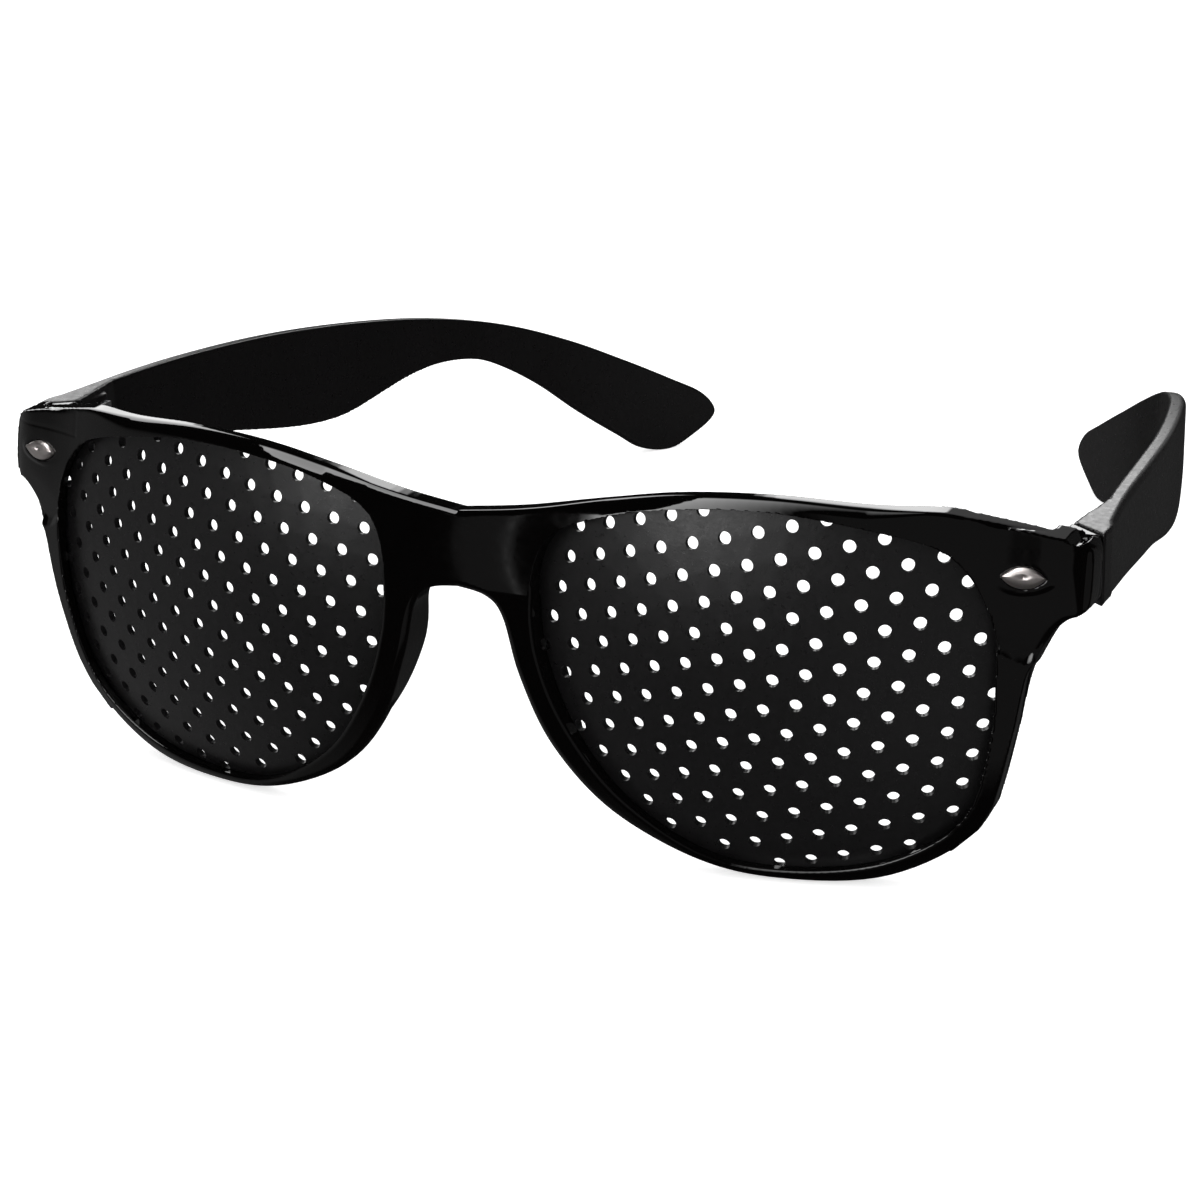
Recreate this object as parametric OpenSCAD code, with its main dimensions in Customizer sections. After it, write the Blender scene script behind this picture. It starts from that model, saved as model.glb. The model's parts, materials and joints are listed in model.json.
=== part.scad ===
/* [Lens openings] */
// Width of the box that each lens opening is drawn in
lens_w = 54; // [50:0.5:60]
// Height of that box
lens_h = 44; // [40:0.5:48]
// Gap between the two boxes, over the nose
nose_gap = 16.2; // [14:0.2:20]
// Height of the domes' centre above the middle of the openings
dome_rise = 3.3; // [0:0.1:6]

/* [Perforated plates] */
// Radius of the front of each domed plate
dome_r = 74.8; // [70:0.2:90]
// Turn of each plate towards the temple, in degrees
lens_wrap = 8.1; // [6:0.1:10]
// Thickness of each plate
plate_t = 0.6; // [0.5:0.05:0.8]
// Depth of each plate below the front face of the frame
plate_depth = 1.4; // [1:0.1:1.6]
// Reach of each plate into its groove
groove_reach = 0.6; // [0.4:0.05:0.8]
// Running room of a plate in its groove
plate_fit = 0.05; // [0.02:0.01:0.1]
// Diameter of a pinhole
pinhole_d = 1.6; // [1:0.1:2]
// Distance between neighbouring pinholes
pinhole_pitch = 3.88; // [3.4:0.02:5]
// Slope of the rows of pinholes, in degrees
row_slope = 13.3; // [0:0.1:30]
// Solid margin between a pinhole and the plate's edge; below 0 the edge cuts through some holes
plate_margin = -0.3; // [-0.5:0.1:1]

/* [Front frame] */
// Thickness of the front
front_t = 2.6; // [2.5:0.1:3.6]
// Width of the rim along the top
rim_top = 1.4; // [1.2:0.1:2.4]
// Width of the rim at the upper outer corner
rim_brow = 2.2; // [1.8:0.1:3]
// Width of the rim beside the temple
rim_side = 2.1; // [1.6:0.1:3]
// Width of the rim along the bottom
rim_bottom = 1.5; // [1.2:0.1:2.4]
// Width of the rim beside the nose
rim_nose = 3.3; // [2.8:0.1:3.8]
// Width of the rim where it turns from the nose to the bottom
rim_cheek = 2.7; // [2.2:0.1:3.2]
// Height of the bridge's top edge above the domes' centre
bridge_top = 15; // [13:0.2:16]
// Height of the bridge
bridge_h = 8.9; // [7:0.1:10]
// Reach of each end piece beyond its lens opening
end_reach = 9.1; // [8.6:0.1:11]
// Height of the end pieces' top edge above the domes' centre, over the rivets
end_top = 17; // [16:0.1:18]
// Height of each end piece at the front
end_h = 9.4; // [9:0.1:10.4]
// Depth of the hinge line behind the front face of the bridge
seam_y = 22.3; // [21.6:0.1:26]
// Depth of each moulded nose pad behind the rim
pad_depth = 3.8; // [1:0.1:4.4]
// Height of each moulded nose pad
pad_h = 19; // [12:0.5:22]

/* [Temples] */
// Length of each temple, from the hinge line to the tip
temple_l = 122.8; // [114:0.2:130]
// Thickness of each temple at the hinge
temple_t = 4.6; // [4.4:0.1:5.2]
// Thickness of each temple past its hinge block
blade_t = 2.1; // [1.8:0.1:3]
// Thickness of each temple at the tip
tip_t = 2.4; // [1.8:0.1:3.4]
// Distance that each tip stands inboard of the hinge end
tip_inset = 37.8; // [34:0.2:42]
// Depth of each temple at the hinge
root_h = 8.5; // [7.8:0.1:9]
// Fall of each tip below the hinge end's top edge
tip_fall = 36.7; // [32:0.1:40]
// Height of each temple's top edge above the domes' centre, at the hinge
root_top = 15.4; // [14.8:0.1:15.8]
// Gap between the temple and the end piece
seam_gap = 0.4; // [0.3:0.05:0.6]
// Slant of the joint between the temple and the end piece, in degrees
seam_slant = 35; // [0:1:40]

/* [Hinges] */
// Diameter of the hinge barrel
barrel_d = 3; // [2.8:0.1:3.2]
// Height of the whole barrel
barrel_h = 5.4; // [4.8:0.1:5.8]
// Height of the temple's knuckle, in the middle of the barrel
knuckle_h = 1.8; // [1.4:0.1:2.2]
// Play between neighbouring knuckles
knuckle_gap = 0.1; // [0.05:0.01:0.2]
// Room round a leaf in its seat
leaf_fit = 0.05; // [0.02:0.01:0.1]
// Thickness of a hinge leaf
leaf_t = 0.8; // [0.6:0.1:1]
// Length of the front hinge's leaf
front_leaf_l = 5; // [4.4:0.1:5.2]
// Length of the temple hinge's leaf
temple_leaf_l = 4.6; // [4.2:0.1:5.4]
// Diameter of the hinge screw's shank
pivot_d = 1.2; // [1:0.05:1.4]
// Radial clearance of the hinge screw in the knuckles
pivot_fit = 0.05; // [0.02:0.01:0.08]
// Diameter of the hinge screw's head
pivot_head_d = 2.2; // [2:0.1:2.6]
// Height of the hinge screw's head
pivot_head_h = 0.5; // [0.4:0.05:0.6]
// Diameter of a leaf screw's shank
leaf_screw_d = 0.9; // [0.7:0.05:1]
// Diameter of a leaf screw's head
leaf_head_d = 1.8; // [1.5:0.1:2]
// Height of a leaf screw's head
leaf_head_h = 0.35; // [0.25:0.05:0.5]
// Length of a leaf screw under its head
leaf_screw_l = 2.6; // [2.2:0.1:3]
// Distance between a leaf's two screws
leaf_screw_gap = 2.4; // [2:0.1:2.8]

/* [Decorative rivets] */
// Length of a rivet's pointed head
rivet_l = 5; // [4.4:0.1:6]
// Width of a rivet's head
rivet_w = 2.4; // [2:0.1:3]
// Height of a rivet's head above the front face
rivet_rise = 0.5; // [0.3:0.05:0.8]
// Depth of a rivet's head below the front face
rivet_sink = 0.5; // [0.4:0.05:0.8]
// Diameter of a rivet's peg
peg_d = 1.2; // [0.8:0.1:1.4]
// Length of a rivet's peg
peg_l = 2; // [1.4:0.1:2.2]
// Distance from a rivet's middle to the end of the front
rivet_inset = 6.5; // [6:0.1:8]
// Distance from a rivet's middle to the end piece's top edge
rivet_drop = 4.7; // [4:0.1:5.4]

/* [Hidden] */
$fn = 48;

// The left side is +X. Sizes are in millimetres.
// Before the glasses are laid down, the front stands upright, its face touches y = 0
// and the temples run towards +Y. The domes' centre is at z = 0.
lens_x = nose_gap / 2 + lens_w / 2;
lens_z = -dome_rise;
front_r = dome_r + plate_depth;
back_r = front_r - front_t;
dome_x = lens_x - dome_r * sin(lens_wrap);
end_x = lens_x + lens_w / 2 + end_reach;
far = 60;

// Lens opening, as shares of half its box's width and height, from the temple side over the top
OPENING = [
    [1.00, 0.16], [0.975, 0.50], [0.80, 0.81], [0.48, 0.935], [0.10, 1.00], [-0.27, 0.98],
    [-0.62, 0.895], [-0.875, 0.745], [-0.95, 0.42], [-0.90, 0.02], [-0.775, -0.34],
    [-0.565, -0.68], [-0.24, -0.94], [0.10, -1.00], [0.53, -0.92], [0.86, -0.65], [0.975, -0.22]
];

function turn_left(v) = [-v[1], v[0]];
function unit(v) = v / norm(v);

// Point on a smooth curve through p0, p1, p2 and p3, between p1 and p2
function curve_point(p0, p1, p2, p3, t) =
    p1 + 0.5 * t * (p2 - p0 + t * (2 * p0 - 5 * p1 + 4 * p2 - p3 + t * (3 * (p1 - p2) + p3 - p0)));
function smooth_open(p, steps) = [
    for (i = [0:len(p) - 2], k = [0:steps - 1])
        curve_point(p[max(i - 1, 0)], p[i], p[i + 1], p[min(i + 2, len(p) - 1)], k / steps),
    p[len(p) - 1]
];
function smooth_closed(p, steps) = [
    for (i = [0:len(p) - 1], k = [0:steps - 1])
        curve_point(
            p[(i + len(p) - 1) % len(p)], p[i], p[(i + 1) % len(p)], p[(i + 2) % len(p)], k / steps
        )
];
function mirrored(p) = [for (i = [len(p) - 1:-1:0]) [-p[i][0], p[i][1]]];

opening_nodes = [for (p = OPENING) [lens_x + p[0] * lens_w / 2, lens_z + p[1] * lens_h / 2]];
// Outward direction of the opening at control point i, for points that run counter-clockwise
function outward(p, i) =
    -turn_left(unit(p[(i + 1) % len(p)] - p[(i + len(p) - 1) % len(p)]));
function grown(p, by) = [for (i = [0:len(p) - 1]) p[i] + by * outward(p, i)];
function rim_at(i, by) = opening_nodes[i] + by * outward(opening_nodes, i);

opening = smooth_closed(opening_nodes, 4);
plate_outline = grown(opening, groove_reach);

// Outer edge of the front, from the middle of the bridge over the top to its underside
outer_half = smooth_open([
    [0, bridge_top],
    [nose_gap / 2, bridge_top + 1.1],
    rim_at(6, rim_top + 0.3),
    rim_at(5, rim_top),
    rim_at(4, rim_top),
    rim_at(3, rim_brow),
    [end_x - 16.4, end_top + 2.2],
    [end_x - 13, end_top + 1.6],
    [end_x - 9.2, end_top + 0.8],
    [end_x - 4.9, end_top],
    [end_x - 2, end_top - 0.8],
    [end_x - 0.5, end_top - 1.7],
    [end_x, end_top - 3.6],
    [end_x, end_top - end_h + 1.4],
    [end_x - 0.6, end_top - end_h + 0.2],
    [end_x - 2.2, end_top - end_h - 0.5],
    [end_x - 3.7, end_top - end_h - 2.2],
    [end_x - 5.3, end_top - end_h - 5.6],
    rim_at(0, rim_side + 0.9),
    rim_at(16, rim_side),
    rim_at(15, rim_side),
    rim_at(14, rim_side),
    rim_at(13, rim_bottom),
    rim_at(12, rim_bottom),
    rim_at(11, rim_cheek),
    rim_at(10, rim_nose),
    rim_at(9, rim_nose),
    [nose_gap / 2 - 2.3, bridge_top - bridge_h - 3],
    [nose_gap / 2 - 4.4, bridge_top - bridge_h - 0.7],
    [0, bridge_top - bridge_h]
], 3);
outer = concat(outer_half, [for (p = mirrored(outer_half)) if (p[0] < -0.01) p]);

// Temple seen from the side: share of its length, and height as a share of the tip's fall.
// The points run along the top edge, round the tip and back along the bottom edge.
TEMPLE_TOP = [
    [0, 0], [0.12, 0.002], [0.24, 0.023], [0.37, 0.061], [0.50, 0.118], [0.63, 0.197],
    [0.74, 0.30], [0.83, 0.43], [0.90, 0.565], [0.955, 0.685], [0.985, 0.757],
    [1.00, 0.835], [0.996, 0.89], [0.975, 0.95]
];
TEMPLE_BOTTOM = [
    [0.95, 0.995], [0.92, 0.975], [0.893, 0.90], [0.844, 0.76], [0.795, 0.613], [0.746, 0.498],
    [0.697, 0.42], [0.64, 0.388], [0.585, 0.40], [0.53, 0.44], [0.475, 0.472], [0.42, 0.464],
    [0.355, 0.425], [0.257, 0.351], [0.16, 0.305], [0.06, 0.264]
];
root_y = seam_y + seam_gap;
slant_y = temple_t * tan(seam_slant);
temple_side = smooth_open([
    [root_y - slant_y, root_top],
    for (p = TEMPLE_TOP) [root_y + p[0] * temple_l, root_top - p[1] * tip_fall],
    for (p = TEMPLE_BOTTOM) [root_y + p[0] * temple_l, root_top - p[1] * tip_fall],
    [root_y, root_top - root_h],
    [root_y - slant_y, root_top - root_h - 0.1]
], 3);

// Outer face of the temple seen from above: share of its length, and share of the tip's inset
TEMPLE_PLAN = [
    [0, 0], [0.08, 0.034], [0.21, 0.073], [0.34, 0.124], [0.47, 0.203], [0.60, 0.306],
    [0.73, 0.446], [0.795, 0.541], [0.86, 0.66], [0.925, 0.808], [1.0, 1.0], [1.06, 1.17]
];
plan_out = smooth_open([
    for (p = TEMPLE_PLAN) [end_x - p[1] * tip_inset, root_y + p[0] * temple_l]
], 2);
plan_last = len(plan_out) - 1;
// The inner face is one thickness away, measured square to the outer face
plan_in = [
    for (i = [0:plan_last])
        i == 0 ? plan_out[0] - [blade_t, 0]
        : plan_out[i]
          + (blade_t + (tip_t - blade_t) * i / plan_last)
          * turn_left(unit(plan_out[min(i + 1, plan_last)] - plan_out[i - 1]))
];
// The inner face bulges over a short flare at the hinge, and lower down over the hinge's leaf
flare_l = 4;
block_l = barrel_d / 2 + temple_leaf_l + 0.2;

// Hinge, upright on the seam and just inside the inner face
inner_x = end_x - temple_t;
leaf_x = inner_x - leaf_t;
hinge_x = inner_x - 0.1 - barrel_d / 2;
hinge_y = seam_y + seam_gap / 2;
hinge_z = root_top - root_h / 2;
front_knuckle_h = (barrel_h - knuckle_h) / 2 - knuckle_gap;
front_leaf_y = hinge_y - barrel_d / 2 - front_leaf_l / 2 - 0.1;
temple_leaf_y = hinge_y + barrel_d / 2 + temple_leaf_l / 2 + 0.1;

// How the glasses lie: on the two rims and on the two temple tips
function front_y(x, z, r) =
    front_r - sqrt(r * r - pow(max(abs(x) - dome_x, 0), 2) - z * z);
rim_feet = [for (p = outer_half) if (p[1] < lens_z - lens_h / 3) [front_y(p[0], p[1], back_r), p[1]]];
tip_feet = [for (p = temple_side) if (p[0] > root_y + temple_l * 0.8) p];
rest_slope = max([
    for (r = rim_feet) min([for (t = tip_feet) (t[1] - r[1]) / (t[0] - r[0])])
]);
rest_tilt = atan(rest_slope);
rest_lift = -min([for (p = concat(rim_feet, tip_feet)) p[1] * cos(rest_tilt) - p[0] * sin(rest_tilt)]);
rest_back = max([for (p = tip_feet) p[0] * cos(rest_tilt) + p[1] * sin(rest_tilt)]);
rest_front = front_r * cos(rest_tilt) - front_r;

module at_rest() {
    translate([0, -(rest_back + rest_front) / 2, rest_lift]) rotate([-rest_tilt, 0, 0]) children();
}
module side(s) {
    if (s == "left") children();
    else mirror([1, 0, 0]) children();
}

// A flat outline given in x and z, made solid from y0 to y1
module upright(points, y0, y1) {
    translate([0, y1, 0]) rotate([90, 0, 0]) linear_extrude(y1 - y0) polygon(points);
}

// Distance of a bulging surface from the axis through the domes' centres, at x.
// Two domes are joined by a round bar, and go on straight where the end pieces are.
flat_from = end_x - 14.2;
bulge_step = 4;
function bulge_radius(x, r) =
    x < dome_x ? r
    : x < flat_from ? sqrt(r * r - pow(x - dome_x, 2))
    : bulge_radius(flat_from - 0.001, r)
      - (x - flat_from) * (flat_from - dome_x) / bulge_radius(flat_from - 0.001, r);
function bulge_face(r) = [
    for (x = [dome_x:bulge_step:flat_from]) [x, bulge_radius(x, r)],
    [end_x + 4, bulge_radius(end_x + 4, r)]
];
// The end pieces have a flatter face, which turns the corner at the temple
end_from = flat_from + 1.5;
END_FACE = [
    [-14.2, 0], [-11.6, 1.12], [-8.9, 2.02], [-6.5, 2.57], [-4, 3.17], [-2.2, 4.2],
    [-1.1, 5.5], [-0.4, 7.2], [-0.1, 9.3], [0.1, 13]
];
end_face = smooth_open([
    for (p = END_FACE) [end_x + p[0], bulge_radius(flat_from, front_r) - p[1]]
], 3);
// Everything behind a face, which is a list of [x, distance from the axis]
module behind(face) {
    last = face[len(face) - 1][0];
    profile = concat(
        [[0, -last]],
        [for (i = [len(face) - 1:-1:0]) [face[i][1], -face[i][0]]],
        [for (p = face) [p[1], p[0]]],
        [[0, last]]
    );
    translate([0, front_r, 0]) rotate([0, 90, 0]) rotate_extrude($fn = 96) polygon(profile);
}
module dome(r) {
    translate([dome_x, front_r, 0]) sphere(r, $fn = 96);
}

// Everything behind the slanted joint that the temple closes against
module behind_seam() {
    linear_extrude(far) polygon([
        [inner_x - 5, seam_y + 5 * tan(seam_slant)],
        [end_x + 5, seam_y - (temple_t + 5) * tan(seam_slant)],
        [end_x + 5, far],
        [inner_x - 5, far]
    ]);
}

// Front of the glasses, with its end pieces and nose pads
module front_shell() {
    difference() {
        intersection() {
            upright(outer, -far, far);
            behind(bulge_face(front_r));
        }
        behind(bulge_face(back_r));
    }
}
// Flattened face of the end piece, and the block behind it that the hinge is fixed to
module end_piece() {
    root_bottom = root_top - root_h - 0.1;
    intersection() {
        upright(outer, -far, far);
        behind(end_face);
        translate([end_from, 0, -far]) cube([far, far, 2 * far]);
        // Below the rivet the flattened face leans back until it runs into the rim
        translate([end_x - 4, 12.4, root_bottom - 0.9]) rotate([8.5, 0, 21.8])
            translate([-far, 0, -far]) cube(2 * far);
        rotate([90, 0, 90]) linear_extrude(2 * far) polygon([
            [5, root_bottom - 8],
            [14, root_bottom - 8],
            [16, root_bottom],
            [far, root_bottom],
            [far, root_top],
            [seam_y - slant_y, root_top],
            [11, end_top + 0.8],
            [5, end_top + 3]
        ]);
    }
}
// Room behind the end piece's face, inboard of the temple
module end_piece_back() {
    intersection() {
        behind([for (p = end_face) [p[0], p[1] - front_t]]);
        translate([end_from - 1, 0, root_top - root_h - 0.4])
            cube([inner_x - end_from + 1, 2 * far, far]);
    }
}
module nose_pad() {
    pad_back = front_y(nose_gap / 2, 0, back_r) + pad_depth;
    pad_r = (pad_h * pad_h / 4 + pad_depth * pad_depth) / (2 * pad_depth);
    pad_mid = bridge_top - bridge_h - pad_h / 2;
    intersection() {
        upright(outer, 1, pad_back + 1);
        behind(bulge_face(front_r));
        translate([0, pad_back - pad_r, pad_mid])
            rotate([0, 90, 0]) cylinder(r = pad_r, h = nose_gap / 2 + lens_w / 4);
    }
}
module front_frame() color([0.03, 0.03, 0.035]) at_rest() difference() {
    union() {
        front_shell();
        for (s = ["left", "right"]) side(s) {
            end_piece();
            nose_pad();
        }
    }
    for (s = ["left", "right"]) side(s) {
        upright(opening, -far, far);
        intersection() {
            upright(grown(plate_outline, plate_fit), -far, far);
            difference() {
                dome(dome_r + plate_fit);
                dome(dome_r - plate_t - plate_fit);
            }
        }
        end_piece_back();
        behind_seam();
        leaf_seat(front_leaf_y, front_leaf_l);
        leaf_screw_holes(front_leaf_y);
        rivet_socket();
    }
}

// Pinholes lie on rows of a triangular grid, seen along the plate's own axis
hole_rows = ceil(lens_h / pinhole_pitch);
function grid_point(i, j) = pinhole_pitch * [
    i * cos(row_slope) + j * cos(row_slope + 60) - 0.11,
    i * sin(row_slope) + j * sin(row_slope + 60) - 0.40
];
// Direction from the dome's centre to a grid point, as a turn and a rise in degrees
function hole_rise(p) = asin(p[1] / dome_r);
function hole_turn(p) = lens_wrap + asin(p[0] / (dome_r * cos(hole_rise(p))));
function hole_place(p) = [
    dome_x + dome_r * cos(hole_rise(p)) * sin(hole_turn(p)),
    p[1]
];
// Distance from a point to the plate's edge, negative outside
function edge_gap(q, outline) = min([
    for (i = [0:len(outline) - 1]) (outline[i] - q) * outward(outline, i)
]);
module lens_plate(s) color([0.10, 0.10, 0.105]) at_rest() side(s) {
    difference() {
        intersection() {
            upright(plate_outline, -far, far);
            dome(dome_r);
        }
        dome(dome_r - plate_t);
        for (i = [-hole_rows:hole_rows], j = [-hole_rows:hole_rows]) {
            p = grid_point(i, j);
            if (norm(p - [0, lens_z]) < lens_w * 0.6)
                if (edge_gap(hole_place(p), plate_outline) > pinhole_d / 2 + plate_margin)
                    translate([dome_x, front_r, 0])
                        rotate([0, 0, hole_turn(p)]) rotate([90 - hole_rise(p), 0, 0])
                            translate([0, 0, dome_r - plate_t - 1])
                                cylinder(d = pinhole_d, h = plate_t + 2, $fn = 24);
        }
    }
}

module temple(s) color([0.035, 0.035, 0.04]) at_rest() side(s) difference() {
    intersection() {
        union() {
            translate([0, 0, -far]) linear_extrude(2 * far) polygon(concat(
                [[end_x, root_y - slant_y]],
                plan_out,
                [for (i = [plan_last:-1:0]) if (plan_in[i][1] > root_y + flare_l) plan_in[i]],
                [[inner_x, root_y + 0.3], [inner_x, root_y]]
            ));
            translate([0, 0, hinge_z - barrel_h / 2 - leaf_t]) linear_extrude(barrel_h + 2 * leaf_t) polygon([
                [inner_x, root_y],
                [end_x - blade_t / 2, root_y],
                [end_x - blade_t - 0.4, root_y + block_l + 2.4],
                [inner_x, root_y + block_l]
            ]);
        }
        rotate([90, 0, 90]) linear_extrude(2 * far) polygon(temple_side);
    }
    leaf_seat(temple_leaf_y, temple_leaf_l);
    leaf_screw_holes(temple_leaf_y);
}

// Two holes through a leaf, blind in the plastic behind it, that hold the leaf's screws
module leaf_screw_holes(y) {
    for (dy = [-1, 1]) translate([leaf_x - 1, y + dy * leaf_screw_gap / 2, hinge_z])
        rotate([0, 90, 0]) cylinder(d = leaf_screw_d, h = leaf_screw_l + 1.2, $fn = 24);
}
module leaf_screws(s, y) color([0.55, 0.55, 0.56]) at_rest() side(s) {
    for (dy = [-1, 1]) translate([leaf_x, y + dy * leaf_screw_gap / 2, hinge_z]) rotate([0, 90, 0]) {
        cylinder(d = leaf_screw_d, h = leaf_screw_l, $fn = 24);
        translate([0, 0, -leaf_head_h]) cylinder(d = leaf_head_d, h = leaf_head_h, $fn = 24);
    }
}

// Knuckles, and the webs that join them to a leaf
module knuckle(z0, h) {
    translate([hinge_x, hinge_y, z0]) cylinder(d = barrel_d, h = h);
}
module web(y0, y1, z0, h) {
    translate([leaf_x, min(y0, y1), z0]) cube([leaf_t, abs(y1 - y0), h]);
}
module leaf(y, length) {
    web(y - length / 2, y + length / 2, hinge_z - barrel_h / 2, barrel_h);
}
// Room in the plastic for a leaf and its knuckles
module leaf_seat(y, length) {
    y0 = min(y - length / 2, hinge_y) - leaf_fit;
    y1 = max(y + length / 2, hinge_y) + leaf_fit;
    translate([leaf_x - far, y0, hinge_z - barrel_h / 2 - leaf_fit])
        cube([leaf_t + far, y1 - y0, barrel_h + 2 * leaf_fit]);
}
module pivot_bore() {
    translate([hinge_x, hinge_y, hinge_z - barrel_h])
        cylinder(d = pivot_d + 2 * pivot_fit, h = 2 * barrel_h);
}
module front_hinge(s) color([0.6, 0.6, 0.62]) at_rest() side(s) difference() {
    low = hinge_z - barrel_h / 2;
    union() {
        leaf(front_leaf_y, front_leaf_l);
        for (z0 = [low, low + barrel_h - front_knuckle_h]) {
            knuckle(z0, front_knuckle_h);
            web(front_leaf_y, hinge_y, z0, front_knuckle_h);
        }
    }
    pivot_bore();
    leaf_screw_holes(front_leaf_y);
}
module temple_hinge(s) color([0.6, 0.6, 0.62]) at_rest() side(s) difference() {
    union() {
        leaf(temple_leaf_y, temple_leaf_l);
        knuckle(hinge_z - knuckle_h / 2, knuckle_h);
        web(hinge_y, temple_leaf_y, hinge_z - knuckle_h / 2, knuckle_h);
    }
    pivot_bore();
    leaf_screw_holes(temple_leaf_y);
}
module hinge_screw(s) color([0.7, 0.7, 0.72]) at_rest() side(s) {
    translate([hinge_x, hinge_y, hinge_z - barrel_h / 2]) {
        cylinder(d = pivot_d, h = barrel_h);
        translate([0, 0, barrel_h]) cylinder(d = pivot_head_d, h = pivot_head_h);
    }
}

// Pointed, domed head of a rivet and the peg behind it
rivet_x = end_x - rivet_inset;
rivet_z = end_top - rivet_drop;
rivet_face = lookup(rivet_x, end_face);
rivet_y = front_r - sqrt(rivet_face * rivet_face - rivet_z * rivet_z);
rivet_yaw = atan((lookup(rivet_x - 2, end_face) - lookup(rivet_x + 2, end_face)) / 4);
rivet_pitch = asin(rivet_z / rivet_face);
module on_rivet() {
    translate([rivet_x, rivet_y, rivet_z]) rotate([-rivet_pitch, 0, rivet_yaw]) rotate([90, 0, 0])
        children();
}
// Two arcs that meet in points, drawn as the overlap of two circles
module lozenge() {
    arc_r = (rivet_l * rivet_l + rivet_w * rivet_w) / (4 * rivet_w);
    intersection() {
        translate([0, arc_r - rivet_w / 2]) circle(arc_r);
        translate([0, rivet_w / 2 - arc_r]) circle(arc_r);
    }
}
module rivet_socket() {
    on_rivet() {
        translate([0, 0, -rivet_sink]) linear_extrude(rivet_sink + 3) lozenge();
        translate([0, 0, -rivet_sink - peg_l - 0.1]) cylinder(d = peg_d, h = peg_l + 1, $fn = 24);
    }
}
module rivet(s) color([0.75, 0.74, 0.74]) at_rest() side(s) on_rivet() {
    crown_r = (rivet_l * rivet_l / 4 + rivet_rise * rivet_rise) / (2 * rivet_rise);
    intersection() {
        translate([0, 0, -rivet_sink]) linear_extrude(rivet_sink + rivet_rise) lozenge();
        translate([0, 0, rivet_rise - crown_r]) sphere(crown_r, $fn = 96);
    }
    translate([0, 0, -rivet_sink - peg_l]) cylinder(d = peg_d, h = peg_l + 0.1, $fn = 24);
}

front_frame();
lens_plate("left");  // left_lens_plate
lens_plate("right");  // right_lens_plate
temple("left");  // left_temple
temple("right");  // right_temple
front_hinge("left");  // left_front_hinge
front_hinge("right");  // right_front_hinge
temple_hinge("left");  // left_temple_hinge
temple_hinge("right");  // right_temple_hinge
hinge_screw("left");  // left_hinge_screw
hinge_screw("right");  // right_hinge_screw
leaf_screws("left", front_leaf_y);  // left_front_leaf_screws
leaf_screws("right", front_leaf_y);  // right_front_leaf_screws
leaf_screws("left", temple_leaf_y);  // left_temple_leaf_screws
leaf_screws("right", temple_leaf_y);  // right_temple_leaf_screws
rivet("left");  // left_rivet
rivet("right");  // right_rivet
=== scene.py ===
"""Looks of the pinhole glasses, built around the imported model.

Shapes are worked out in millimetres in the upright frame: the front stands upright with its
face at y = 0, the temples run towards +Y and the left side is +X. TO_REST lays them down.
"""

import json
import math

import bmesh
import bpy
import numpy as np
from mathutils import Matrix, Vector
from mathutils.geometry import delaunay_2d_cdt


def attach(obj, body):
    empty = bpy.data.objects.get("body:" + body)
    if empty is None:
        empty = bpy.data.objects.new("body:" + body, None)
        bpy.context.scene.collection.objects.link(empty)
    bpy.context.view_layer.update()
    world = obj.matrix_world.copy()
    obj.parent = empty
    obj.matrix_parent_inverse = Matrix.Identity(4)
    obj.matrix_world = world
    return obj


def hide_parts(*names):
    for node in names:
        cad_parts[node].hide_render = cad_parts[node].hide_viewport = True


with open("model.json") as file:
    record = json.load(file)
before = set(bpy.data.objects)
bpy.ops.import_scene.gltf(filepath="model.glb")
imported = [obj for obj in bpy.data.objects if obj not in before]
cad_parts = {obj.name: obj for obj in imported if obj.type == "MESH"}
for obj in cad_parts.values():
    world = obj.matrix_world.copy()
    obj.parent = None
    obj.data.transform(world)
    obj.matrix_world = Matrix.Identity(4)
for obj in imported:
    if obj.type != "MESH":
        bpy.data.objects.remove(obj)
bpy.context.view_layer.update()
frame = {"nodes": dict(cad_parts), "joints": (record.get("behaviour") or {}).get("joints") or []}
MM = 0.001

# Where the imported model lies: the left hinge's upright place gives the turn and the shift
HINGE_UPRIGHT = Vector((65.0, 22.5, 11.15))
left_fold = next(j for j in frame["joints"] if j["name"] == "left_temple_fold")
hinge_axis = Vector(left_fold["axis"])
REST_TILT = math.atan2(hinge_axis.y, hinge_axis.z)
turned = Matrix.Rotation(-REST_TILT, 4, "X")
TO_REST = (
    Matrix.Translation(Vector(left_fold["pos_m"]) - turned @ (HINGE_UPRIGHT * MM))
    @ turned
    @ Matrix.Scale(MM, 4)
)
SIDES = {"left": 1, "right": -1}

# Sizes of the model, in millimetres and degrees
LENS_W = 54.0
LENS_H = 44.0
LENS_X = 35.1
LENS_Z = -3.3
DOME_R = 74.8
DOME_X = 24.56
LENS_WRAP = 8.1
GROOVE_REACH = 0.6
FRONT_R = 76.2
FRONT_T = 2.6
FLAT_FROM = 57.0
END_X = 71.2
PINHOLE_D = 1.6
PINHOLE_PITCH = 3.88
ROW_SLOPE = 13.3
PLATE_MARGIN = -0.3
NOSE_GAP = 16.2
BRIDGE_TOP = 15.0
BRIDGE_H = 8.9
END_TOP = 17.0
END_H = 9.4
RIM_TOP = 1.4
RIM_BROW = 2.2
RIM_SIDE = 2.1
RIM_BOTTOM = 1.5
RIM_NOSE = 3.3
RIM_CHEEK = 2.7
PAD_DEPTH = 3.8
PAD_H = 19.0
ROOT_Y = 22.7
ROOT_TOP = 15.4
ROOT_H = 8.5
TEMPLE_T = 4.6
SEAM_SLANT = 35.0
TEMPLE_L = 122.8
TIP_INSET = 37.8
TIP_FALL = 36.7
BLADE_T = 2.1
TIP_T = 2.4
RIVET_L = 5.0
RIVET_W = 2.4
RIVET_INSET = 6.5
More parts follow.
